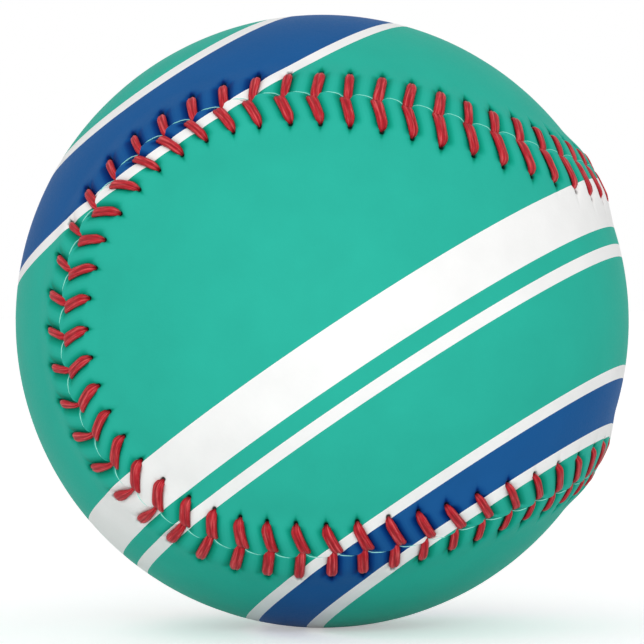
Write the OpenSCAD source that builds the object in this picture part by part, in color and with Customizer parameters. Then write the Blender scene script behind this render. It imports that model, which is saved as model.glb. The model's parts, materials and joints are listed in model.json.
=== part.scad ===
// Twelve-inch softball with a raised, hand-stitched two-needle seam.
// Cork and rubber core, yarn winding, latex coat, two figure-eight cover panels
// and the two waxed strands that lace the panels together.
// Origin: centre of the ball. +X runs through the waist of the front panel, whose
// lobes lie toward -Y and +Y; the back panel has its waist at -X and its lobes at
// -Z and +Z.

/* [Ball] */
// Diameter of the ball over the plain leather
ball_d = 97; // [88:1:106]

/* [Inside] */
// Diameter of the cork and rubber core
core_d = 72; // [60:1:80]
// Thickness of the latex coat on the winding
coat_t = 0.5; // [0.3:0.1:1]
// Film of cement between one layer and the next
bond = 0.05; // [0.02:0.01:0.1]

/* [Cover] */
// Thickness of the leather away from the seam
cover_t = 2; // [1.8:0.1:2.6]
// Angle at the ball's centre across the round end of a panel
lobe_angle = 91; // [88:0.5:92.5]
// Angle at the ball's centre across the waist of a panel
waist_angle = 54; // [51:0.5:57]

/* [Seam] */
// Number of stitches on each panel
stitch_count = 104; // [88:4:112]
// Distance of the stitch holes from the seam line
hole_inset = 5.4; // [4.6:0.1:6]
// How far forward a stitch leans on its way from its hole to the seam
stitch_lean = 1.3; // [0.9:0.1:1.8]
// How far the stitches beside the end of a lobe stand out toward its sides
tip_spread = 0.8; // [0:0.1:1]
// Height of the leather between two stitches above the plain leather
mound_rise = 0.7; // [0.4:0.05:0.9]
// Height of the leather under a stitch above the plain leather
stitch_rise = 0.2; // [0:0.05:0.3]
// Distance from the seam line at which the raised band runs out
band_w = 8; // [7:0.1:9.5]
// Distance of the top of the band from the seam line
crest_inset = 2.6; // [2.2:0.1:3]
// Rounding of a panel's cut edge
edge_round = 0.6; // [0.4:0.05:0.7]
// Open slit between the two panels, between the stitches
slit_w = 0.2; // [0.1:0.05:0.4]

/* [Thread] */
// Width of a stitch at its widest
thread_w = 1.7; // [1.2:0.05:2]
// Thickness of a stitch where it is widest
thread_t = 0.8; // [0.7:0.05:0.9]
// Thickness of the strand where it is drawn through the leather
thread_neck = 0.75; // [0.6:0.05:0.8]
// Room between a strand and the leather or the coat
thread_room = 0.1; // [0.08:0.01:0.12]

/* [Hidden] */
// Length of cuts past the faces that they leave
overrun = 1;
// Number of flat strips across a panel
field_strips = 8;
// Share of the leather's rise that is left at the row of holes
hole_row_share = 0.7;
// Share of the way from the seam to its hole at which a stitch is widest
widest_share = 0.4;
// The two panels have two lobes each
lobe_ends = 4;

ball_r = ball_d / 2;
coat_r = ball_r - cover_t - bond;
winding_r = coat_r - coat_t - bond;

// The seam as two unit vectors for a place on it: the place itself and the
// direction square to the seam, toward the front panel.
// One eighth runs from the end of a lobe along a circular arc, then along a great
// circle that is tangent to the arc and passes midway between two lobes.
lobe_a = lobe_angle / 2;
lean_a = 90 - lobe_a - waist_angle / 2;
lobe_c = [-sin(lean_a), cos(lean_a), 0];
lobe_u = [-cos(lean_a), -sin(lean_a), 0];
lobe_v = [0, 0, 1];
mid_m = [0, 1, 1] / sqrt(2);
mid_k = [0, 1, -1] / sqrt(2);
tilt_x = -sin(lean_a);
tilt_k = cos(lean_a) / sqrt(2);
tilt = atan2(tilt_k, tilt_x) - acos(sin(lobe_a) / norm([tilt_x, tilt_k]));
run_n = [cos(tilt), 0, 0] + sin(tilt) * mid_k;
run_w = cos(tilt) * mid_k - [sin(tilt), 0, 0];
meet = (lobe_c - sin(lobe_a) * run_n) / cos(lobe_a);
arc_a = atan2(meet * lobe_v, meet * lobe_u);
run_a = acos(meet * mid_m);
arc_len = ball_r * sin(lobe_a) * arc_a * PI / 180;
eighth_len = arc_len + ball_r * run_a * PI / 180;
quarter_len = 2 * eighth_len;
seam_len = 8 * eighth_len;
pitch = seam_len / stitch_count;

function turn_of(length, radius) = length / radius * 180 / PI;

function on_arc(a) =
  let (out = cos(a) * lobe_u + sin(a) * lobe_v)
  [cos(lobe_a) * lobe_c + sin(lobe_a) * out, sin(lobe_a) * lobe_c - cos(lobe_a) * out];

function on_run(b) = [cos(b) * mid_m + sin(b) * run_w, run_n];

function eighth(q) =
  q < arc_len ? on_arc(turn_of(q, ball_r * sin(lobe_a))) : on_run(turn_of(eighth_len - q, ball_r));

// Half a turn about the point midway between two lobes swaps the panels
function swapped(f) = [[-f[0].x, f[0].z, f[0].y], -[-f[1].x, f[1].z, f[1].y]];

function quarter(q) = q <= eighth_len ? eighth(q) : swapped(eighth(quarter_len - q));

function seam(s) =
  let (w = s - seam_len * floor(s / seam_len), j = floor(w / quarter_len), t = w - j * quarter_len)
  let (f = quarter(j % 2 == 0 ? t : quarter_len - t))
  let (fy = j == 1 || j == 2 ? -1 : 1, fz = j > 1 ? -1 : 1)
  [for (v = f) [v.x, fy * v.y, fz * v.z]];

// Direction from the centre for a place s along the seam and d to one side of it
function beside(s, d) =
  let (f = seam(s), a = turn_of(d, ball_r))
  cos(a) * f[0] + sin(a) * f[1];

// Place along the seam of stitch k, or of a mound, which is half a stitch on. The
// stitches stand a little wider apart round the end of each lobe.
function stitch_s(k) = k * pitch + tip_spread * sin(lobe_ends * 360 * k / stitch_count);

// Cover panels
// Lines run across the seam band. Even lines follow the stitches, odd lines the
// mounds between them, and both lean forward from the holes to the seam.
lines = 2 * stitch_count;
rings = 5;
neck_r = thread_neck / 2;
strand_step = neck_r + 2 * thread_room;
rebate_w = hole_inset + thread_neck + thread_room;
// How far straight runs and flat faces under the rim dip below a round arc
run_sag = (pow(hole_inset, 2) + pow(pitch, 2)) / (8 * coat_r);
floor_sag = pow(rebate_w, 2) / (8 * coat_r);
low_r = coat_r + run_sag + thread_room + neck_r;
rebate_r = low_r + neck_r + thread_room + floor_sag;
notch_w = neck_r + 2 * thread_room + slit_w / 2;
top_r = ball_r + stitch_rise + thread_room + thread_t / 2;

function line_s(i, d) = stitch_s(i / 2) + stitch_lean * max(0, 1 - d / hole_inset);

function gap_at(i) = i % 2 == 0 ? notch_w : slit_w / 2;

function rise_at(i) = i % 2 == 0 ? stitch_rise : mound_rise;

function ring_place(i, ring) =
  ring == 0 ? [gap_at(i), rebate_r]
  : ring == 1 ? [gap_at(i), ball_r + rise_at(i) - edge_round]
  : ring == 2 ? [gap_at(i) + edge_round, ball_r + rise_at(i)]
  : ring == 3 ? [crest_inset, ball_r + rise_at(i)]
  : [hole_inset, ball_r + hole_row_share * rise_at(i)];

function ring_point(i, ring, side) =
  let (p = ring_place(i, ring))
  p[1] * beside(line_s(i, p[0]), side * p[0]);

// Across the field of a panel rows join one side of the band to the other
function field_point(row, col, side, first) =
  let (a = beside(line_s(2 * (first + row) + 1, band_w), side * band_w))
  let (b = beside(line_s(2 * (first - row) - 1, band_w), side * band_w))
  let (f = col / field_strips, p = (1 - f) * a + f * b)
  ball_r * p / norm(p);

function flip(face, side) = side > 0 ? face : [face[2], face[1], face[0]];

// Two triangles for the four corners a, b on one ring and c, d on the next
function quad(a, b, c, d, side) = [flip([a, c, b], side), flip([b, c, d], side)];

module panel_block(side) {
  // The panel's first lobe ends where the seam's count is 0 or a quarter round
  first = side > 0 ? 0 : stitch_count / lobe_ends;
  rows = stitch_count / 2;
  cols = field_strips + 1;
  field_0 = rings * lines;
  under_0 = field_0 + rows * cols;
  apex = under_0 + stitch_count;
  points = [
    for (ring = [0:rings - 1], i = [0:lines - 1]) ring_point(i, ring, side),
    for (row = [0:rows - 1], col = [0:field_strips]) field_point(row, col, side, first),
    for (k = [0:stitch_count - 1]) rebate_r * beside(line_s(2 * k + 1, rebate_w), side * rebate_w),
    [0, 0, 0],
  ];
  function at(ring, i) = ring * lines + (i % lines);
  // Number of a point on the field's rim, by the mound k that it belongs to
  function rim(k) =
    let (j = (k - first + 2 * stitch_count) % stitch_count)
    field_0 + (j < rows ? j * cols : (stitch_count - 1 - j) * cols + field_strips);
  function under(k) = under_0 + k % stitch_count;
  faces = concat(
    [for (ring = [0:rings - 2], i = [0:lines - 1], t = quad(
      at(ring, i), at(ring, i + 1), at(ring + 1, i), at(ring + 1, i + 1), side)) t],
    [for (k = [0:stitch_count - 1], t = [
      [at(rings - 1, 2 * k + 1), rim(k), at(rings - 1, 2 * k + 2)],
      [at(rings - 1, 2 * k + 2), rim(k + 1), at(rings - 1, 2 * k + 3)],
      [under(k), at(0, 2 * k + 1), at(0, 2 * k + 2)],
      [under(k), at(0, 2 * k + 2), under(k + 1)],
      [under(k + 1), at(0, 2 * k + 2), at(0, 2 * k + 3)],
      [apex, under(k), under(k + 1)],
    ]) flip(t, side)],
    [for (k = [0:stitch_count - 1]) if ((k + 1 - first) % rows != 0)
      flip([at(rings - 1, 2 * k + 2), rim(k), rim(k + 1)], side)],
    // The first and last rows close the field at the ends of the two lobes
    [for (col = [0:field_strips - 1], t = [
      [at(rings - 1, 2 * first), field_0 + col + 1, field_0 + col],
      [at(rings - 1, 2 * (first + rows)), under_0 - cols + col, under_0 - cols + col + 1],
    ]) flip(t, side)],
    [for (row = [0:rows - 2], col = [0:field_strips - 1], t = quad(
      field_0 + row * cols + col, field_0 + (row + 1) * cols + col,
      field_0 + row * cols + col + 1, field_0 + (row + 1) * cols + col + 1, side)) t]
  );
  polyhedron(points = points, faces = faces, convexity = 8);
}

// Turns its children from +Z to the direction v
module toward(v) {
  rotate([0, acos(v.z / norm(v)), atan2(v.y, v.x)]) children();
}

module stitch_holes(side) {
  for (k = [0:stitch_count - 1])
    toward(beside(stitch_s(k), side * hole_inset))
      translate([0, 0, rebate_r - overrun])
        cylinder(h = ball_r + overrun - (rebate_r - overrun), r = neck_r + thread_room, $fn = 16);
}

module cover_panel(side) {
  difference() {
    panel_block(side);
    sphere(r = coat_r + bond, $fn = 200);
    stitch_holes(side);
  }
}

// Strands
// Each strand comes up through a hole, crosses over the leather to the seam, goes
// down between the panels and runs under the other panel to its next hole. The
// two strands take turns, so every pair of holes shows one stitch of each.
strand_rings = 5;
strand_sides = 4;

function hole_side(k, strand) = (k + strand) % 2 == 0 ? 1 : -1;

// The stitch from the front panel goes down ahead of the stitch from the back one
function down_s(k, side) = stitch_s(k) + stitch_lean + side * strand_step;

// Part of v that is square to the unit vector u, as a unit vector
function square_to(v, u) = let (w = v - (v * u) * u) w / norm(w);

// Corner points of the strand's section at the centre c: half a width along s and
// half a thickness along u, with turn telling how far the points are counted on
function section(c, s, u, turn) =
  let (p = [c + s, c + u, c - s, c - u])
  [for (j = [0:strand_sides - 1]) p[(j + turn) % strand_sides]];

function strand_points(k, strand) =
  let (side = hole_side(k, strand), turn = 2 * (k % 2))
  let (up = beside(stitch_s(k), side * hole_inset), down = seam(down_s(k, side))[0])
  let (next = beside(stitch_s(k + 1), -side * hole_inset), w = widest_share)
  let (chord = w * up + (1 - w) * down, mid = chord / norm(chord))
  let (go_up = square_to(down - up, up), go_mid = square_to(down - up, mid))
  let (go_down = square_to(down - up, down), under_a = square_to(next - down, down))
  let (under_b = square_to(next - down, next))
  concat(
    section(top_r * up, neck_r * cross(up, go_up), neck_r * (up - go_up), turn),
    section(top_r * mid, thread_w / 2 * cross(mid, go_mid), thread_t / 2 * mid, turn),
    section(top_r * down, neck_r * cross(down, go_down), neck_r * (down + go_down), turn),
    section(low_r * down, neck_r * cross(down, under_a), neck_r * (down + under_a), turn),
    section(low_r * next, neck_r * cross(next, under_b), neck_r * (next - under_b), turn)
  );

module strand(strand) {
  count = strand_rings * stitch_count;
  points = [for (k = [0:stitch_count - 1], p = strand_points(k, strand)) p];
  faces = [for (ring = [0:count - 1], j = [0:strand_sides - 1])
    let (a = strand_sides * ring, b = strand_sides * ((ring + 1) % count), n = (j + 1) % strand_sides)
    for (t = [[a + j, b + j, a + n], [a + n, b + j, b + n]]) t];
  polyhedron(points = points, faces = faces, convexity = 10);
}

module core() {
  color("peru") sphere(d = core_d, $fn = 96);
}

module yarn_winding() {
  color("wheat") difference() {
    sphere(r = winding_r, $fn = 96);
    sphere(r = core_d / 2 + bond, $fn = 96);
  }
}

module latex_coat() {
  color("ivory") difference() {
    sphere(r = coat_r, $fn = 96);
    sphere(r = winding_r + bond, $fn = 96);
  }
}

module cover_panel_front() {
  color([0.2, 0.72, 0.64]) cover_panel(1);
}

module cover_panel_back() {
  color([0.12, 0.36, 0.62]) cover_panel(-1);
}

module thread_strand_one() {
  color([0.78, 0.16, 0.21]) strand(0);
}

module thread_strand_two() {
  color([0.78, 0.16, 0.21]) strand(1);
}

core();
yarn_winding();
latex_coat();
cover_panel_front();
cover_panel_back();
thread_strand_one();
thread_strand_two();
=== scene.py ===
"""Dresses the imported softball: two printed leather panels, the hand-laced raised seam
and the layers inside. Lengths are in metres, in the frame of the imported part."""
import json
import bpy
import numpy as np
from mathutils import Matrix, Vector


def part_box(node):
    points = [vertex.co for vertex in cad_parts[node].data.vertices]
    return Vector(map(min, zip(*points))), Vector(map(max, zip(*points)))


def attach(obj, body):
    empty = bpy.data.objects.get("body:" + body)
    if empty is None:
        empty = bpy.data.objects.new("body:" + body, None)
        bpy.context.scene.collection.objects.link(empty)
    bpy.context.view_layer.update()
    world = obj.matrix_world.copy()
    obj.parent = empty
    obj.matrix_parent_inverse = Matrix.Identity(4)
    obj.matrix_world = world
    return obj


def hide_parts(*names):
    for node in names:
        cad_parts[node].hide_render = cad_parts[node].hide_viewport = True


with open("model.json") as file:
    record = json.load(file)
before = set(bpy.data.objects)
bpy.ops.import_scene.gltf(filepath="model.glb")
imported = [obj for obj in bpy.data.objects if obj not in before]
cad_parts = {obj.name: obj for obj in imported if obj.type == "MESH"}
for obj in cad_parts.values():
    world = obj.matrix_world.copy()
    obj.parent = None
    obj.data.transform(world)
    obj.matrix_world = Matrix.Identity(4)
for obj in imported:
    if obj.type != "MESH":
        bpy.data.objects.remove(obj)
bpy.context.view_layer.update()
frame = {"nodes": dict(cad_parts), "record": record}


# Core
# A ball of ground cork set in dark rubber, moulded hot and sealed inside the winding.
# It keeps its solid and gets cork granules of many browns in a nearly black binder.
def add_node(tree, kind, inputs=None, **settings):
    """Adds a shader node, sets its properties and gives each named input a value or a link."""
    made = tree.nodes.new("ShaderNode" + kind)
    for name, value in settings.items():
        setattr(made, name, value)
    for name, value in (inputs or {}).items():
        if isinstance(value, bpy.types.NodeSocket):
            tree.links.new(value, made.inputs[name])
        else:
            made.inputs[name].default_value = value
    return made


def new_finish(name, **sockets):
    """A material with these values on its Principled shader. Gives the material, its tree, its
    shader and the Object coordinates."""
    material = bpy.data.materials.new(name)
    material.use_nodes = True
    tree = material.node_tree
    shader = tree.nodes["Principled BSDF"]
    for socket, value in sockets.items():
        shader.inputs[socket.replace("_", " ")].default_value = value
    return material, tree, shader, add_node(tree, "TexCoord").outputs["Object"]


def paint(red, green, blue):
    """The linear colour of a paint written as 0 to 255 on a screen: each share to the power 2.4,
    after the screen's offset is taken off, or in a straight line where it is very dark."""
    share = np.array([red, green, blue]) / 255
    return tuple(np.where(share > 0.04045, ((share + 0.055) / 1.055) ** 2.4, share / 12.92)) + (1,)


def ramp(tree, share, stops, interpolation="LINEAR"):
    """A colour for each share from 0 to 1, read between stops, each a place and its colour."""
    made = add_node(tree, "ValToRGB", {"Fac": share})
    made.color_ramp.interpolation = interpolation
    while len(made.color_ramp.elements) < len(stops):
        made.color_ramp.elements.new(1)
    for element, (place, colour) in zip(made.color_ramp.elements, stops):
        element.position = place
        element.color = colour
    return made.outputs["Color"]


def spread(tree, value, low, high, first=0, last=1):
    """A number that goes from first to last while value goes from low to high, and no further."""
    ends = {"From Min": low, "From Max": high, "To Min": first, "To Max": last}
    return add_node(tree, "MapRange", {"Value": value, **ends}).outputs["Result"]


def blend(tree, share, first, second):
    """The first colour where share is 0, the second where it is 1, and mixed between."""
    return add_node(tree, "MixRGB", {"Fac": share, "Color1": first, "Color2": second}).outputs["Color"]


def bump(tree, height, strength, rise):
    """The normal of a surface that rises by this much where height is 1, at this strength."""
    made = add_node(tree, "Bump", {"Height": height, "Strength": strength, "Distance": rise})
    return made.outputs["Normal"]


def wire(tree, shader, **sockets):
    """Links these outputs to the shader's inputs of those names."""
    for socket, output in sockets.items():
        tree.links.new(output, shader.inputs[socket.replace("_", " ")])


def put_finish(piece, material):
    """Makes this the piece's only material."""
    piece.data.materials.clear()
    piece.data.materials.append(material)


mm = 0.001
granule = 2.2 * mm
granule_rise = 0.3 * mm
binder_from, binder_to = 0.02, 0.09

cork, tree, shader, place = new_finish("cork_and_rubber", Roughness=0.85)
cells = add_node(tree, "TexVoronoi", {"Vector": place, "Scale": 1 / granule})
rims = add_node(tree, "TexVoronoi", {"Vector": place, "Scale": 1 / granule}, feature="DISTANCE_TO_EDGE")
browns = ramp(tree, cells.outputs["Color"], [
    (0.2, paint(116, 76, 44)), (0.5, paint(170, 121, 74)), (0.8, paint(204, 160, 108))])
inside = spread(tree, rims.outputs["Distance"], binder_from, binder_to)
wire(tree, shader, Base_Color=blend(tree, inside, paint(38, 32, 29), browns),
     Normal=bump(tree, inside, 0.6, granule_rise))
put_finish(frame["nodes"]["core"], cork)


# Yarn winding
# Several hundred metres of wool and cotton yarn, wound tight round the core in every
# direction. It keeps its solid, and three crossed lays of yarn give it its colour and ridges.
yarn_w = 1.1 * mm
yarn_rise = 0.4 * mm
waves_in_unit = 3.2
lay_turns = ((0.4, 0.2, 0.1), (1.3, 0.9, 2.0), (2.2, 0.5, 1.1))

yarn, tree, shader, place = new_finish("wound_yarn", Roughness=0.95, Sheen_Weight=0.3)
ridges = 0.0
for turn in lay_turns:
    laid = add_node(tree, "Mapping", {"Vector": place, "Rotation": turn})
    lay = add_node(tree, "TexWave", {
        "Vector": laid.outputs["Vector"], "Scale": 1 / (waves_in_unit * yarn_w),
        "Distortion": 1.5, "Detail": 3})
    higher = add_node(tree, "Math", {0: ridges, 1: lay.outputs["Fac"]}, operation="MAXIMUM")
    ridges = higher.outputs["Value"]
wools = ramp(tree, ridges, [
    (0.2, paint(150, 140, 120)), (0.7, paint(214, 206, 190)), (1, paint(236, 230, 218))])
wire(tree, shader, Base_Color=wools, Normal=bump(tree, ridges, 0.7, yarn_rise))
put_finish(frame["nodes"]["yarn_winding"], yarn)


# Latex coat
# The wound ball is dipped in latex, which dries to a cream skin that glues the yarn down
# and grips the leather. It keeps its solid and gets soft drip marks in colour and height.
drip = 9 * mm
drip_rise = 0.3 * mm

latex, tree, shader, place = new_finish("dried_latex", Roughness=0.4, Specular_IOR_Level=0.45)
drips = add_node(tree, "TexNoise", {"Vector": place, "Scale": 1 / drip, "Detail": 6}).outputs[0]
creams = ramp(tree, drips, [(0.35, paint(222, 205, 160)), (0.65, paint(240, 230, 200))])
wire(tree, shader, Base_Color=creams, Normal=bump(tree, drips, 0.5, drip_rise))
put_finish(frame["nodes"]["latex_coat"], latex)


# Cover panels
# Two equal figure-eight pieces of printed leather, 2 mm thick, glued over the coat at right
# angles to each other. Their cut edges butt along one closed seam, and the lacing pulls the
# leather down at every stitch, so that it swells between the stitches and puckers at the holes.
ball_r = -frame["record"]["mounts"][0]["pos_m"][2]
coat_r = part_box("latex_coat")[1].z
stitches = 104
hole_inset = 5.4 * mm

# The seam's shape: half the angle that a lobe and a waist take up at the ball's centre. The
# circle round a lobe end has the axis lobe_c, starts at the tip, on the side of lobe_u, and
# goes toward lobe_v. The great circle between two lobes has the axis run_n and goes from its
# middle, mid_m, toward run_w. Its tilt makes the two tangent where they meet: its axis lies
# 90 degrees less half a lobe from lobe_c.
lobe_a = np.radians(91 / 2)
waist_a = np.radians(54 / 2)
lean_a = np.pi / 2 - lobe_a - waist_a
lobe_c = np.array([-np.sin(lean_a), np.cos(lean_a), 0])
lobe_u = np.array([-np.cos(lean_a), -np.sin(lean_a), 0])
lobe_v = np.array([0, 0, 1])
mid_m = np.array([0, 1, 1]) / np.sqrt(2)
mid_k = np.array([0, 1, -1]) / np.sqrt(2)
tilt_x = -np.sin(lean_a)
tilt_k = np.cos(lean_a) / np.sqrt(2)
tilt = np.arctan2(tilt_k, tilt_x) - np.arccos(np.sin(lobe_a) / np.hypot(tilt_x, tilt_k))
run_n = np.array([np.cos(tilt), 0, 0]) + np.sin(tilt) * mid_k
run_w = np.cos(tilt) * mid_k - np.array([np.sin(tilt), 0, 0])
meet = (lobe_c - np.sin(lobe_a) * run_n) / np.cos(lobe_a)
arc_len = ball_r * np.sin(lobe_a) * np.arctan2(meet @ lobe_v, meet @ lobe_u)
eighth_len = arc_len + ball_r * np.arccos(meet @ mid_m)
quarter_len = 2 * eighth_len
pitch = 8 * eighth_len / stitches


def seam(s):
    """Two unit vectors for each place s along the seam: the place, and the direction square to
    the seam, toward the front panel. An eighth of the seam is a circular arc round the end of
    a lobe, then a great circle tangent to it; half turns and mirrors of it make the rest."""
    s = np.mod(s, 4 * quarter_len)
    quarter = np.floor(s / quarter_len).astype(int)
    t = s - quarter * quarter_len
    t = np.where(quarter % 2 == 0, t, quarter_len - t)
    swap = (t > eighth_len)[..., None]
    t = np.minimum(t, quarter_len - t)
    a = (t / (ball_r * np.sin(lobe_a)))[..., None]
    out = np.cos(a) * lobe_u + np.sin(a) * lobe_v
    b = ((eighth_len - t) / ball_r)[..., None]
    on_arc = (t < arc_len)[..., None]
    at = np.where(on_arc, np.cos(lobe_a) * lobe_c + np.sin(lobe_a) * out,
                  np.cos(b) * mid_m + np.sin(b) * run_w)
    square = np.where(on_arc, np.sin(lobe_a) * lobe_c - np.cos(lobe_a) * out, run_n)
    at = np.where(swap, at[..., [0, 2, 1]] * [-1, 1, 1], at)
    square = np.where(swap, -square[..., [0, 2, 1]] * [-1, 1, 1], square)
    flips = np.stack([np.ones_like(s), np.where((quarter == 1) | (quarter == 2), -1, 1),
                      np.where(quarter > 1, -1, 1)], -1)
    return at * flips, square * flips


def beside(s, d):
    """Direction from the ball's centre for a place s along the seam and d to one side of it:
    the seam's two vectors turned into each other by the angle d over the ball's radius."""
    at, square = seam(s)
    a = (d / ball_r)[..., None]
    return np.cos(a) * at + np.sin(a) * square


def stitch_s(c):
    """Place along the seam of stitch c: even pitches from first_slip on, with a sine that opens
    them round the lobe ends."""
    tip_spread = 0.8 * mm
    first_slip = 0.35 * mm
    return c * pitch + first_slip + tip_spread * np.sin(4 * 2 * np.pi * c / stitches)


def wander(seed, size):
    """A hand-made difference for each stitch: normal noise of this size, held to twice the size."""
    return np.clip(np.random.default_rng(seed).normal(0, size, stitches), -2 * size, 2 * size)


def drift(two_cos, two_sin, four_cos, four_sin):
    """A slow change from stitch to stitch: waves of two and of four turns round the seam."""
    turn = 4 * np.pi * np.arange(stitches) / stitches
    return (two_cos * np.cos(turn) + two_sin * np.sin(turn) +
            four_cos * np.cos(2 * turn) + four_sin * np.sin(2 * turn))


# What differs from stitch to stitch, with 1 for the front panel's leg and -1 for the back one's.
# A leg leads its stitch's even place by base_lead at the seam, where the back leg's end stays
# behind the front's, and by hole_lead at its hole, whose near end lies hole_d from the seam.
# The lacing has drawn the seam this far toward the front, and the mound after the stitch rises
# puff times as high. The stitches from 54 to 59 are pinched: a bump of one there, nought
# elsewhere, moves their ends at the seam on and their front holes back.
pinched_at, pinched_half = 56.3, 2.6
ends_apart = 0.15 * mm
pinched = np.exp(-((np.arange(stitches) - pinched_at) / pinched_half) ** 4)
base_lead = {1: (1.5 + wander(11, 0.14) + drift(0.08, -0.18, 0.16, -0.27) + 0.6 * pinched) * mm}
base_lead[-1] = (0.86 + wander(11, 0.14) + drift(-0.2, -0.45, 0.26, 0.35) + 0.6 * pinched) * mm
base_lead[-1] = np.minimum(base_lead[-1], base_lead[1] - ends_apart)
hole_lead = {1: (wander(12, 0.14) + drift(0.09, -0.18, -0.06, 0.45) - 0.15 - 0.95 * pinched) * mm,
             -1: (wander(13, 0.16) + drift(-0.14, -0.45, -0.12, 0.18) + 0.06) * mm}
hole_d = {1: hole_inset + (wander(15, 0.12) + drift(0.3, 0.06, -0.37, 0.33) - 0.45) * mm,
          -1: hole_inset + (wander(16, 0.14) + drift(0.29, 0.05, -0.47, 0.41) - 0.9) * mm}
drawn = (wander(17, 0.1) + drift(0.6, 0, -0.35, 0.2) - 0.15) * mm
puff = 1 + wander(14, 0.1)
lean_power = {1: 1.1, -1: 1.0}
lean_end = 0.5 * mm


def leg_s(side, k, d):
    """Place along the seam of the middle of stitch k's leg on one side, d away from the seam. It
    goes from the lead at the hole to the lead at the seam by a power of the share of the way
    there, which is whole at lean_end from the drawn seam."""
    whole = np.floor_divide(k, stitches) * stitches
    i = np.mod(k, stitches)
    near = side * drawn[i] + lean_end
    share = np.clip((hole_inset - d) / (hole_inset - near), 0, 1) ** lean_power[side]
    hole, base = hole_lead[side][i], base_lead[side][i]
    return stitch_s(i + whole) + hole + (base - hole) * share


# The leather's grid: columns at these shares of the way from one stitch to the next, closest
# at the stitches, rows this far in from the cut edge, and steps across the field inside them.
over_steps, under_steps = 24, 10
column_shares = np.array([0, 0.03, 0.06, 0.095, 0.14, 0.2, 0.28, 0.38])
column_shares = np.concatenate([column_shares, [0.5], 1 - column_shares[:0:-1]])
columns = stitches * len(column_shares)
rim_rows = np.array([0.0, 0.03, 0.06, 0.1, 0.17, 0.3, 0.5, 0.8, 1.2, 1.7, 2.3, 2.9, 3.45, 3.9, 4.25, 4.55,
                     4.8, 5.05, 5.3, 5.55, 5.8, 6.05, 6.35, 6.7, 7.1, 7.6, 8.2, 8.9, 9.6]) * mm

# The cut edge. Between stitches it bows toward the back panel, by a mean and a swing that goes
# twice round the seam. Each panel keeps back by the slit, and by the notch more at every knot,
# where the strands go down. All of it dies out inward over the fade lengths. The edge is
# rounded with the radius edge_r, and shows raw leather raw_to inward and raw_drop down.
bow_mean, bow_swing, bow_fade = 0.36 * mm, 0.3 * mm, 1.3 * mm
drawn_fade = 3.0 * mm
slit, notch, gap_fade = 0.02 * mm, 0.12 * mm, 0.6 * mm
edge_r = 0.12 * mm
raw_to, raw_drop = 0.04 * mm, 0.06 * mm

# The top: mounds between the stitches on a band along the seam, whole as far as the crest, a
# groove under each leg, and at its hole a dimple, a pit and a crease that leads away inward.
mound_rise, crest_w, band_w = 0.8 * mm, 2.6 * mm, 9.2 * mm
groove_floor, groove_w, groove_end = 0.1 * mm, 1.12 * mm, 0.5 * mm
dimple_deep, dimple_r = 0.16 * mm, 1.3 * mm
pit_deep, pit_w, pit_len, pit_past = 0.6 * mm, 0.42 * mm, 0.62 * mm, 0.6 * mm
crease_deep, crease_w = 0.14 * mm, 0.35 * mm
crease_from, crease_ramp, crease_to, crease_end = 1.0 * mm, 0.5 * mm, 1.6 * mm, 1.1 * mm

# The painted shade round the stitches: beside a leg, none at the cut edge, to a little before
# its end, in a patch round the hole, and in a streak along the crease.
leg_shade_w, leg_shade_stop, leg_shade_end = 1.5 * mm, 0.5 * mm, 0.8 * mm
unshaded_edge = 0.4 * mm
patch_share, patch_w, patch_len = 0.8, 0.75 * mm, 1.0 * mm
streak_share, streak_w, streak_to, streak_end = 1.5, 0.28 * mm, 1.2 * mm, 0.7 * mm

# The underside: skived along the seam for the hidden runs of thread, and a hair off the coat.
skive_drop, skive_w, skive_slope = 0.85 * mm, 6.6 * mm, 0.6 * mm
under_gap = 0.12 * mm


def fade(x, width, power=2):
    """A soft window: one at nought, 0.37 where x is the width, and squarer with a higher power."""
    return np.exp(-np.abs(x / width) ** power)


def band(d):
    """Share of the mounds' rise that is left d away from the seam: a half cosine from the crest
    to nothing at the band's width."""
    return 0.5 + 0.5 * np.cos(np.pi * np.clip((d - crest_w) / (band_w - crest_w), 0, 1))


def hole_depth(x, past):
    """One in the middle of a stitch's hole and nought outside, x along the seam from the leg and
    past the hole's near end: two soft windows multiplied, for a long hole, narrow along the seam,
    that starts under the end of the leg."""
    return fade(x, pit_w, 4) * fade(past - pit_past, pit_len, 4)


def relief(c, x, d, past, row):
    """Height of the leather over the plain ball: the mound, less a steep-sided groove under each
    stitch, the dimple, the pit and the crease at its hole, and the rounding of the cut edge, a
    quarter circle of radius edge_r."""
    k = np.floor(c).astype(int) % stitches
    mound = mound_rise * puff[k] ** np.sin(np.pi * (c - np.floor(c)))
    groove = fade(x, groove_w, 3) * fade(np.maximum(past, 0), groove_end)
    dimple = dimple_deep * fade(np.hypot(x, past - pit_past), dimple_r)
    crease = crease_deep * fade(x, crease_w) * np.clip((past - crease_from) / crease_ramp, 0, 1)
    crease = crease * fade(np.maximum(past - crease_to, 0), crease_end)
    drop = edge_r - np.sqrt(edge_r ** 2 - np.clip(edge_r - row, 0, edge_r) ** 2)
    rise = band(d) * (mound - (mound - groove_floor) * groove)
    return rise - dimple - pit_deep * hole_depth(x, past) - crease - drop


def painted_stitch_shade(x, d, past):
    """Share of shade painted on the leather round a stitch, the most of three: beside the leg, in the
    patch and in the streak."""
    beside_leg = fade(x, leg_shade_w, 4) * fade(np.maximum(past + leg_shade_stop, 0), leg_shade_end)
    beside_leg = beside_leg * np.clip(d / unshaded_edge, 0, 1)
    patch = patch_share * fade(x, patch_w) * fade(past - pit_past, patch_len)
    streak = streak_share * fade(x, streak_w) * fade(np.maximum(past - streak_to, 0), streak_end)
    return np.maximum(np.maximum(beside_leg, patch), streak * (past > 0))


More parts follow.
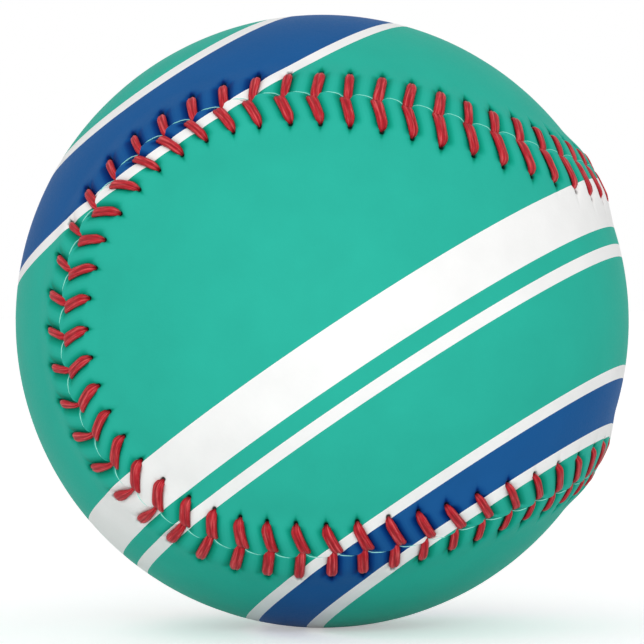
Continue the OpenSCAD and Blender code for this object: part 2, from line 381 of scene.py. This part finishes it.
def edge_shift(side, s):
    """How far the cut edge lies in from the plain seam at the places s along it, in three parts:
    the bow, the part drawn by the lacing, and the gap to the other panel. Both panels count s in
    the same knots, each midway between the ends of its stitch's legs, so that their edges stay
    together. The bow is a half sine, pushed toward the next knot by a power of 1.5."""
    knots = np.arange(-2, stitches + 3)
    knots_s = stitch_s(knots) + (base_lead[1] + base_lead[-1])[knots % stitches] / 2
    shared = np.interp(s, knots_s, knots)
    swell = np.sin(np.pi * np.mod(shared, 1) ** 1.5)
    bowed = -side * (bow_mean + bow_swing * np.cos(4 * np.pi * shared / stitches)) * swell
    pulled = side * np.interp(shared, np.arange(stitches), drawn, period=stitches)
    return bowed, pulled, slit + notch * np.cos(np.pi * shared) ** 8


def ring_faces(across, down):
    """Four-sided faces of a closed band of points, down rows of across points each."""
    row = np.arange(down - 1)[:, None] * across
    i = np.arange(across)[None]
    n = (i + 1) % across
    return np.stack([row + i, row + n, row + across + n, row + across + i], -1).reshape(-1, 4)


def field_points(rim, first, steps, radius):
    """Points across a panel inside its rim, a line for each pair of columns as far before and
    after the first one: mixed in even shares between the pair, then set to the radius."""
    i = np.arange(1, columns // 2)[:, None]
    a, b = rim[(first + i) % columns], rim[(first - i) % columns]
    share = np.linspace(0, 1, steps + 1)[None, 1:-1, None]
    mixed = (1 - share) * a + share * b
    return mixed / np.linalg.norm(mixed, axis=-1, keepdims=True) * radius


def field_faces(grid, start, first, rim_row):
    """Faces of such a grid, whose points are numbered from start: each line has its pair of rim
    points at its ends, and a fan of triangles closes the panel at the two unpaired columns."""
    half, inner = grid.shape[0], grid.shape[1]
    j = np.arange(1, half + 1)
    left = rim_row * columns + (first + j) % columns
    right = rim_row * columns + (first - j) % columns
    index = start + np.arange(half * inner).reshape(half, inner)
    index = np.concatenate([left[:, None], index, right[:, None]], 1)
    quads = np.stack([index[:-1, :-1], index[1:, :-1], index[1:, 1:], index[:-1, 1:]], -1).reshape(-1, 4)
    tips = rim_row * columns + np.array([first, (first + columns // 2) % columns])
    fans = [np.stack([np.full(inner + 1, tip), line[:-1], line[1:], line[1:]], -1)
            for tip, line in ((tips[0], index[0]), (tips[1], index[-1, ::-1]))]
    return np.concatenate([quads] + fans)


def panel_mesh(side):
    """Points, faces and marks of one panel. Its band is a grid of columns, which lean as the
    stitches do, by rows in from the cut edge, and its field a grid of great circles. The
    underside repeats both with fewer rows, and a lip of raw leather joins them at the seam."""
    c = (np.arange(stitches)[:, None] + column_shares).ravel()
    k = np.floor(c).astype(int)
    f = c - k
    bowed, pulled, gap = edge_shift(side, (1 - f) * leg_s(side, k, 0) + f * leg_s(side, k + 1, 0))
    row = rim_rows[:, None]
    d = (row + bowed * np.exp(-row / bow_fade) + pulled * np.exp(-row / drawn_fade) +
         gap * np.exp(-row / gap_fade))
    s = (1 - f) * leg_s(side, k, d) + f * leg_s(side, k + 1, d)
    x = np.broadcast_to((c - np.round(c)) * pitch, d.shape)
    past = d - hole_d[side][np.round(c).astype(int) % stitches]
    top = beside(s, side * d) * (ball_r + relief(c, x, d, past, row))[..., None]
    lip = top[:1] * (1 - raw_drop / ball_r)
    low_r = np.array([ball_r - skive_drop, ball_r - skive_drop, coat_r + under_gap])[:, None, None]
    low_d = np.array([0, skive_w, skive_w + skive_slope])[:, None]
    low_d = low_d + np.where(low_d > 0, 0, bowed + pulled + gap)
    low = beside(s[0], side * low_d) * low_r
    wall = np.concatenate([low[::-1], lip, top])

    # The field starts at the column at the tip of one of the panel's lobes.
    first = 0 if side > 0 else columns // 4
    over = field_points(wall[-1], first, over_steps, ball_r)
    under = field_points(wall[0], first, under_steps, coat_r + under_gap)
    points = np.concatenate([part.reshape(-1, 3) for part in (wall, over, under)])
    over_start = wall.size // 3
    under_start = over_start + over.size // 3
    faces = np.concatenate([
        ring_faces(columns, len(wall)), field_faces(over, over_start, first, len(wall) - 1),
        field_faces(under, under_start, first, 0)[:, ::-1]])
    if side < 0:
        faces = faces[:, ::-1]

    marks = {"cut_edge": np.broadcast_to(row < raw_to, d.shape), "hole_depth": hole_depth(x, past),
             "painted_stitch_shade": painted_stitch_shade(x, d, past)}
    rows_below = np.zeros((len(wall) - len(rim_rows)) * columns)
    rows_after = np.zeros(len(points) - over_start)
    marks = {mark: np.concatenate([rows_below, values.ravel(), rows_after]) for mark, values in marks.items()}
    return points, faces, marks


def make_piece(name, points, faces, marks, body="root"):
    """A smooth mesh piece from arrays of points and four-sided faces, in which a doubled corner
    makes a triangle, with its marks as point attributes. It rides on the body."""
    mesh = bpy.data.meshes.new(name)
    keep = np.ones(faces.shape, bool)
    keep[faces[:, 2] == faces[:, 3], 3] = False
    keep[faces[:, 0] == faces[:, 1], 0] = False
    sizes = keep.sum(1)
    mesh.vertices.add(len(points))
    mesh.vertices.foreach_set("co", np.asarray(points, np.float32).ravel())
    mesh.loops.add(int(sizes.sum()))
    mesh.loops.foreach_set("vertex_index", faces[keep].astype(np.int32))
    mesh.polygons.add(len(faces))
    mesh.polygons.foreach_set("loop_start", (np.cumsum(sizes) - sizes).astype(np.int32))
    mesh.update(calc_edges=True)
    mesh.validate()
    for mark, values in marks.items():
        mesh.attributes.new(mark, "FLOAT", "POINT").data.foreach_set("value", values.astype(np.float32))
    mesh.polygons.foreach_set("use_smooth", np.ones(len(mesh.polygons), bool))
    piece = bpy.data.objects.new(name, mesh)
    bpy.context.scene.collection.objects.link(piece)
    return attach(piece, body)


teal = paint(46, 182, 161)
deep_blue = paint(30, 92, 154)
white = paint(252, 252, 251)
raw_edge = paint(165, 240, 226)
# A nearly black paint for the shade inside the stitch holes.
hole_shade = paint(8, 22, 20)
pebble, pore, grain_rise = 0.75 * mm, 0.3 * mm, 0.1 * mm
rough_least, rough_most = 0.44, 0.58
mottle_size, mottle_least, mottle_most = 7 * mm, 0.965, 1.02
# How far the painted shade round the stitches deepens each colour, as a power.
shade_power = 1.8
hole_shade_share = 0.93
sash_way = np.array([0.52, -0.2, -0.83])
sash_shares = [
    (0, teal), (0.05, white), (0.065, deep_blue), (0.165, white), (0.18, teal), (0.56, white),
    (0.64, teal), (0.665, white), (0.685, teal), (0.835, white), (0.85, deep_blue), (0.9, white),
    (0.915, teal)]


def leather(name):
    """Printed leather: sashes of flat ink across the whole ball, each between two planes square
    to sash_way, on a fine pebbled grain. It is faintly mottled, deeper in tone where shade is
    painted round the stitches (each colour to a power), pale on the raw edge, and painted
    nearly black as shade in the stitch holes."""
    material, tree, shader, place = new_finish(name, Roughness=0.5, Specular_IOR_Level=0.02)
    way = tuple(sash_way / np.linalg.norm(sash_way) / (2 * ball_r))
    along = add_node(tree, "VectorMath", {0: place, 1: way}, operation="DOT_PRODUCT")
    share = add_node(tree, "Math", {0: along.outputs["Value"], 1: 0.5}, operation="ADD")
    ink = ramp(tree, share.outputs["Value"], sash_shares, "CONSTANT")
    mottle = add_node(tree, "TexNoise", {"Vector": place, "Scale": 1 / mottle_size, "Detail": 5})
    worn = spread(tree, mottle.outputs[0], 0.3, 0.7, mottle_least, mottle_most)
    toned = add_node(tree, "VectorMath", {0: ink, "Scale": worn}, operation="SCALE")
    # Painted shade round the stitches: each colour is raised to a power there, so it darkens.
    stitch_shade = add_node(tree, "Attribute", attribute_name="painted_stitch_shade").outputs["Fac"]
    power = spread(tree, stitch_shade, 0, 1, 1, shade_power)
    shaded_ink = add_node(tree, "Gamma", {"Color": toned.outputs["Vector"], "Gamma": power})
    raw = add_node(tree, "Attribute", attribute_name="cut_edge").outputs["Fac"]
    edged = blend(tree, raw, shaded_ink.outputs["Color"], raw_edge)
    deep = add_node(tree, "Attribute", attribute_name="hole_depth").outputs["Fac"]
    # Painted shade: the stitch holes are coloured nearly black.
    holed = blend(tree, spread(tree, deep, 0.1, 0.8, 0, hole_shade_share), edged, hole_shade)
    pebbles = add_node(tree, "TexVoronoi", {"Vector": place, "Scale": 1 / pebble}, feature="SMOOTH_F1")
    pores = add_node(tree, "TexNoise", {"Vector": place, "Scale": 1 / pore, "Detail": 4}).outputs[0]
    skin = add_node(tree, "Math", {0: pebbles.outputs["Distance"], 1: pores}, operation="ADD")
    wire(tree, shader, Base_Color=holed, Normal=bump(tree, skin.outputs["Value"], 0.16, grain_rise),
         Roughness=spread(tree, pores, 0.3, 0.7, rough_least, rough_most))
    return material


for part, side in (("front", 1), ("back", -1)):
    panel = make_piece("printed_panel_" + part, *panel_mesh(side))
    put_finish(panel, leather("printed_leather_" + part))
    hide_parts("cover_panel_" + part)


# Lacing strands
# Two strands of waxed red thread, each of two plies, sewn by hand with two needles. Each comes
# up through a hole, crosses the leather, dives between the panels and runs under the other
# panel to its next hole. The two take turns, so each pair of holes shows one leg of both.

# A leg has arch_rings rings, and a hidden run has one at each of these shares of its way. A
# ring has this many points over its top, and under it.
arch_rings = 20
run_shares = np.array([0.25, 0.5, 0.75])
top_points = 14
under_points = 6

# A leg's underside lies stitch_rise over the plain ball, and the middle of a hidden run
# run_drop under it. The thread is thread_t thick on the leather. From dive_from under the
# plain ball down, it fades to a round neck, neck_w across.
stitch_rise = 0.2 * mm
run_drop = 1.4 * mm
thread_t = 0.78 * mm
neck_w = 0.62 * mm
dive_from = 0.3 * mm

# A leg on the front (1) and on the back (-1): its width, the share of it that is left at the
# seam, reached over squeeze_len, and how square its arch is at the hole and at the seam (the
# smaller the power the squarer). Its line goes from seam_end on its own side of the seam to
# hole_slip past its hole's near end, and sags at both. Its tip is rounded over tip_len, as if
# to end tip_slip further on. Some legs are fatter, and the plies turn a little.
leg_w = {1: 1.57 * mm, -1: 1.46 * mm}
base_share = {1: 1.08 + wander(25, 0.06), -1: 0.92 + wander(26, 0.1) - 0.7 * pinched}
squeeze_len = 3.2 * mm
hole_power = {1: 0.2, -1: 0.32}
seam_power = {1: 0.5, -1: 0.35}
tip_power = {1: 0.3, -1: 0.36}
tip_len = {1: 1.0 * mm, -1: 1.6 * mm}
tip_slip = 0.35 * mm
seam_end = {1: 0.02 * mm, -1: -0.3 * mm}
hole_slip = 0.1 * mm
seam_sag, seam_sag_len = {1: 0, -1: 0.15 * mm}, 2 * mm
hole_sag, hole_sag_len = 0.25 * mm, 1.4 * mm
fat = {1: 1 + wander(21, 0.06) + drift(0.07, 0, -0.03, 0.12),
       -1: 1 + wander(23, 0.07) + drift(0.09, 0, -0.1, 0.08)}
ply_turn = {1: wander(22, 0.14), -1: wander(24, 0.14)}

# The section: a superellipse, with a valley of this share of its height between the plies,
# which slides across the leg by valley_slide of half its width, and a flatter underside. It
# turns along the seam from turn_from of the way there on, over turn_over of it. The valley
# and the flanks get painted shade, and what lies deeper than sunk_from, down in the hole, is
# painted nearly black as shade.
oval_power = 2.2
valley_share, valley_slide, valley_w = 0.45, 0.5, 0.2
under_share = 0.8
flank_share, flank_from = 0.85, 0.55
sunk_from, sunk_over = 0.3 * mm, 0.6 * mm
turn_from, turn_over = 0.55, 0.35

# One if the way along the seam, found from two places a nudge apart, the way to the front
# panel and up make a right-handed set, else minus one.
nudge = 0.1 * mm
pair_at, pair_square = seam(np.array([0.0, nudge]))
handed = np.sign(np.dot(np.cross(pair_at[1] - pair_at[0], pair_square[0]), pair_at[0]))


def by_side(side, pair, k=None):
    """The front leg's value where side is 1 and the back leg's where it is -1, for each stitch k."""
    front, back = (pair[1], pair[-1]) if k is None else (pair[1][k % stitches], pair[-1][k % stitches])
    return np.where(side > 0, front, back)


def arch(side):
    """Places of a leg's rings on the arch, x from 1 at the hole to -1 at the seam and y up: a quarter
    of a superellipse at each end, cosine and sine to a small power, the first squarer. The rings
    lie at even steps along it, found among many finer ones."""
    fine_steps = 2000
    angle = np.linspace(0, np.pi, fine_steps + 1)
    power = np.where(angle < np.pi / 2, hole_power[side], seam_power[side])
    x = np.sign(np.cos(angle)) * np.abs(np.cos(angle)) ** power
    y = np.abs(np.sin(angle)) ** power
    y[-1] = 0
    gone = np.concatenate([[0], np.cumsum(np.hypot(np.diff(x) * hole_inset / 2, np.diff(y) * run_drop))])
    even = np.linspace(0, gone[-1], arch_rings)
    return np.interp(even, gone, x), np.interp(even, gone, y)


def joined(on_arch, on_run):
    """One row for each stitch: the first value for its leg's rings, the second for its run's."""
    return np.concatenate([np.broadcast_to(on_arch, (stitches, arch_rings)),
                           np.broadcast_to(on_run, (stitches, len(run_shares)))], 1)


def unit(vectors):
    """The same directions with length one."""
    return vectors / np.linalg.norm(vectors, axis=-1, keepdims=True)


def strand_rings(strand):
    """Places of a strand's rings, a row for each stitch. A leg's middle line is an arch over the
    leather, and a straight run under the rim joins it to the next. For each ring, s is its place
    along the seam, d that across it, toward the front, h its height over the plain ball, own_d
    its distance on its own side and to_seam the share of the way to the seam. Its leg or run as
    a whole goes over_s along the seam and over_d across. Its leg goes from reach to end."""
    k = np.arange(stitches)[:, None]
    side = np.where((k + strand) % 2 == 0, 1, -1)
    x, y = (by_side(side, {way: arch(way)[axis] for way in (1, -1)}) for axis in (0, 1))
    reach = by_side(side, hole_d, k) + hole_slip
    next_reach = by_side(-side, hole_d, k + 1) + hole_slip
    end = by_side(side, seam_end) + side * drawn[k]
    arch_d = end + (reach - end) * (1 + x) / 2
    sag = by_side(side, seam_sag) * np.clip(1 - (arch_d - end) / seam_sag_len, 0, 1) ** 2
    sag = sag + hole_sag * np.clip(1 - (reach - arch_d) / hole_sag_len, 0, 1) ** 2
    arch_h = -run_drop + (stitch_rise + thread_t / 2 - sag + run_drop) * y
    arch_s = np.where(side > 0, leg_s(1, k, arch_d), leg_s(-1, k, arch_d))
    next_s = np.where(side > 0, leg_s(-1, k + 1, next_reach), leg_s(1, k + 1, next_reach))
    run_s = arch_s[:, -1:] + (next_s - arch_s[:, -1:]) * run_shares
    run_d = -end + (next_reach + end) * run_shares
    return {
        "k": k, "side": side, "reach": reach, "end": end, "s": joined(arch_s, run_s),
        "d": joined(side * arch_d, -side * run_d), "h": joined(arch_h, -run_drop),
        "own_d": joined(arch_d, run_d), "to_seam": joined((1 - x) / 2, 1 - run_shares),
        "over_s": joined(arch_s[:, -1:] - arch_s[:, :1], next_s - arch_s[:, -1:]),
        "over_d": joined(side * (end - reach), -side * (next_reach + end))}


def ring_axes(rings):
    """Centre, sideways axis and outward axis of each ring. It lies across the line there, flat on
    the leather, square to its leg as a whole, and turns along the seam where it dives."""
    side, s, d = rings["side"], rings["s"], rings["d"]
    centre = beside(s, d) * (ball_r + rings["h"])[..., None]
    up = unit(centre)
    line = centre.reshape(-1, 3)
    way = unit((np.roll(line, -1, 0) - np.roll(line, 1, 0)).reshape(centre.shape))
    along = unit(beside(s + nudge, d) - beside(s - nudge, d))
    toward = rings["over_s"][..., None] * along + rings["over_d"][..., None] * np.cross(up, along) * handed
    across = unit(np.cross(up, toward))
    across *= np.sign(np.sum(across * along, -1, keepdims=True))
    turn = np.clip((rings["to_seam"] - turn_from) / turn_over, 0, 1)[..., None]
    across = ((1 - turn) * across + turn * along) * side[..., None]
    across = unit(across - np.sum(across * way, -1, keepdims=True) * way)
    return centre, across, np.cross(way, across) * handed


def ring_sizes(rings):
    """Width and thickness of the thread at each ring: the leg's width, rounded off by a power at
    the tip, squeezed toward the seam and fading to the neck where it dives. The thickness goes
    with the width."""
    k, side, h, own_d = rings["k"], rings["side"], rings["h"], rings["own_d"]
    taper = np.clip((rings["reach"] + tip_slip - own_d) / by_side(side, tip_len), 0, 1)
    taper = taper ** by_side(side, tip_power)
    left = by_side(side, base_share, k)
    squeeze = 1 - (1 - left) * np.clip(1 - (own_d - rings["end"]) / squeeze_len, 0, 1)
    dive = np.clip((h + run_drop) / (run_drop - dive_from), 0, 1)
    width = np.maximum(by_side(side, leg_w) * by_side(side, fat, k) * taper * squeeze * dive, neck_w)
    width[:, arch_rings:] = neck_w
    return width, neck_w + (thread_t - neck_w) * np.clip(width / leg_w[1], 0, 1)


def strand_mesh(strand):
    """Points, faces, marks and lay of one strand, a closed tube. Each ring is a flat oval with a
    valley, off the middle by ply_turn and sliding from side to side, between two round plies.
    The lay counts millimetres along the thread, and shares of the way round it."""
    rings = strand_rings(strand)
    centre, across, over = ring_axes(rings)
    width, thick = ring_sizes(rings)
    angle = np.concatenate([np.linspace(0, np.pi, top_points),
                            np.pi + np.pi * np.arange(1, under_points + 1) / (under_points + 1)])
    x = np.cos(angle)
    upper = np.sin(angle) > 0
    # A hair short of one, so that rounding never takes the root of a number under nought.
    nearly = 1 - 1e-9
    oval = (1 - nearly * np.abs(x) ** oval_power) ** (1 / oval_power)
    valley = by_side(rings["side"], ply_turn, rings["k"]) + valley_slide * (rings["to_seam"] - 0.5)
    valley = valley[..., None]
    ply_u = np.where(x < valley, (2 * x - valley + 1) / (valley + 1), (2 * x - valley - 1) / (1 - valley))
    plies = 1 - valley_share + valley_share * np.sqrt(np.clip(1 - ply_u ** 2, 0, 1))
    lift = thick[..., None] / 2 * np.where(upper, oval * plies, -under_share * oval)
    shift = width[..., None] / 2 * x
    sideways = shift[..., None] * across[..., None, :]
    points = centre[..., None, :] + sideways + lift[..., None] * over[..., None, :]
    points = points.reshape(-1, 3)

    round_it = len(angle)
    count = stitches * (arch_rings + len(run_shares))
    i = np.arange(count)[:, None] * round_it
    n = (np.arange(count)[:, None] + 1) % count * round_it
    j = np.arange(round_it)[None]
    m = (j + 1) % round_it
    faces = np.stack([i + j, n + j, n + m, i + m], -1).reshape(-1, 4)
    line = centre.reshape(-1, 3)
    step = np.linalg.norm(np.roll(line, -1, 0) - line, axis=1)
    run_to = (np.cumsum(step) / mm)[:, None]
    run_from = run_to - step[:, None] / mm
    share, share_to = j / round_it, (j + 1) / round_it
    corners_uv = ((run_from, share), (run_to, share), (run_to, share_to), (run_from, share_to))
    lay = np.stack([np.stack(np.broadcast_arrays(u, v), -1) for u, v in corners_uv], 2).reshape(-1, 4, 2)
    corners = points[faces]
    normals = np.cross(corners[:, 2] - corners[:, 0], corners[:, 3] - corners[:, 1])
    if np.sum(normals * (corners.mean(1) - np.repeat(line, round_it, 0))) < 0:
        faces, lay = faces[:, ::-1], lay[:, ::-1]

    # Painted shade in the valley between the plies and on the flanks.
    ply_line = fade(x - valley, valley_w) * upper
    flank = flank_share * np.clip((np.abs(x) - flank_from) / (1 - flank_from), 0, 1) ** 2
    # Painted shade: the thread goes nearly black where it sinks into its hole.
    sunk_shade = np.clip((-sunk_from - rings["h"]) / sunk_over, 0, 1)
    marks = {"ply_shade": np.maximum(ply_line, flank).ravel(), "sunk_shade": np.repeat(sunk_shade.ravel(), round_it)}
    return points, faces, marks, lay


# The fibres are streaks, some 3 mm long and 13 round the thread, in three reds. Painted
# shade darkens the valley between the plies and the flanks, and the part sunk into the hole is
# painted nearly black as shade.
fibre_scale, fibre_turn, fibre_rise = (0.3, 13, 1), (0, 0, 0.02), 0.12 * mm
ply_shade_share = 0.8

thread, tree, shader, _ = new_finish("waxed_thread", Roughness=0.45, Specular_IOR_Level=0.2)
lay_map = add_node(tree, "UVMap", uv_map="lay").outputs["UV"]
stretch = add_node(tree, "Mapping", {"Vector": lay_map, "Scale": fibre_scale, "Rotation": fibre_turn})
fibres = add_node(tree, "TexNoise", {
    "Vector": stretch.outputs["Vector"], "Scale": 1, "Detail": 4, "Roughness": 0.6}).outputs[0]
reds = ramp(tree, fibres, [(0.35, paint(164, 12, 28)), (0.5, paint(194, 31, 45)), (0.66, paint(226, 92, 94))])
ply_shade = add_node(tree, "Attribute", attribute_name="ply_shade").outputs["Fac"]
sunk_shade = add_node(tree, "Attribute", attribute_name="sunk_shade").outputs["Fac"]
shaded = blend(tree, spread(tree, ply_shade, 0, 1, 0, ply_shade_share), reds, paint(132, 8, 20))
# Painted shade: nearly black where the thread sinks into its hole.
wire(tree, shader, Base_Color=blend(tree, sunk_shade, shaded, paint(28, 4, 8)),
     Normal=bump(tree, fibres, 0.4, fibre_rise))

for number, name in enumerate(("one", "two")):
    points, faces, marks, lay = strand_mesh(number)
    lacing = make_piece("lacing_strand_" + name, points, faces, marks)
    lacing.data.uv_layers.new(name="lay").data.foreach_set("uv", lay.astype(np.float32).ravel())
    put_finish(lacing, thread)
    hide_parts("thread_strand_" + name)


# Floor and daylight
# A plain pale floor that the ball rests on, a white surround and one large soft lamp in front.
# The floor glows a little, and the surround is whiter, only where they are seen.
floor_half = 3.0
floor_grey = 0.9
floor_glow = 0.4
surround_light, surround_seen = 0.67, 1.0
lamp_size = 0.9
lamp_watts = 8.8
lamp_at = Vector((-0.2, -1.3, 0.2))

floor_mesh = bpy.data.meshes.new("floor")
floor_corners = [(x * floor_half, y * floor_half, -ball_r) for x, y in ((-1, -1), (1, -1), (1, 1), (-1, 1))]
floor_mesh.from_pydata(floor_corners, [], [(0, 1, 2, 3)])
floor = bpy.data.objects.new("floor", floor_mesh)
bpy.context.scene.collection.objects.link(floor)


def background_share(tree):
    """One for rays from the camera and for those that metal or glass sends on, and nought for rays
    that light the object: the sum of the three marks, held to one."""
    path = add_node(tree, "LightPath")
    sent_on = {0: path.outputs["Is Glossy Ray"], 1: path.outputs["Is Transmission Ray"]}
    sent_on = add_node(tree, "Math", sent_on).outputs["Value"]
    seen = {0: path.outputs["Is Camera Ray"], 1: sent_on}
    return add_node(tree, "Math", seen, use_clamp=True).outputs["Value"]


pale, tree, shader, _ = new_finish("pale_floor", Roughness=0.9, Specular_IOR_Level=0.1)
shader.inputs["Base Color"].default_value = (floor_grey, floor_grey, floor_grey, 1)
shader.inputs["Emission Color"].default_value = (1, 1, 1, 1)
wire(tree, shader, Emission_Strength=spread(tree, background_share(tree), 0, 1, 0, floor_glow))
put_finish(floor, pale)

world = bpy.data.worlds.new("white_surround")
bpy.context.scene.world = world
world.use_nodes = True
tree = world.node_tree
sky = tree.nodes["Background"]
sky.inputs["Color"].default_value = (1, 1, 1, 1)
wire(tree, sky, Strength=spread(tree, background_share(tree), 0, 1, surround_light, surround_seen))

lamp = bpy.data.lights.new("front_lamp", "AREA")
lamp.size = lamp_size
lamp.energy = lamp_watts
holder = bpy.data.objects.new("front_lamp", lamp)
holder.matrix_world = Matrix.Translation(lamp_at) @ lamp_at.to_track_quat("Z", "Y").to_matrix().to_4x4()
bpy.context.scene.collection.objects.link(holder)


# Camera
# It stands 16 ball radii in front, a little to the left and above the middle, with the
# ball's outline, outline_px in radius, placed as in the picture.
frame_px = 644
outline_px = 306.6
outline_x_px, outline_y_px = 322.2, 321.3
away = 16
azimuth, elevation, roll = np.radians(-9.08), np.radians(0.99), np.radians(-0.46)

back = np.array([
    np.sin(azimuth) * np.cos(elevation), -np.cos(azimuth) * np.cos(elevation), np.sin(elevation)])
level = np.array([np.cos(azimuth), np.sin(azimuth), 0])
upright = np.cross(back, level)
right = np.cos(roll) * level + np.sin(roll) * upright
up = np.cross(back, right)
camera = bpy.data.cameras.new("camera")
camera.sensor_width = 36
camera.lens = outline_px * np.sqrt(away ** 2 - 1) / frame_px * camera.sensor_width
camera.shift_x = (frame_px / 2 - outline_x_px) / frame_px
camera.shift_y = (outline_y_px - frame_px / 2) / frame_px
camera.clip_start, camera.clip_end = 0.01, 20
viewer = bpy.data.objects.new("camera", camera)
turned = np.eye(4)
turned[:3, 0], turned[:3, 1], turned[:3, 2], turned[:3, 3] = right, up, back, back * away * ball_r
viewer.matrix_world = Matrix(turned.tolist())
bpy.context.scene.collection.objects.link(viewer)
bpy.context.scene.camera = viewer
bpy.context.scene.view_settings.view_transform = "Standard"
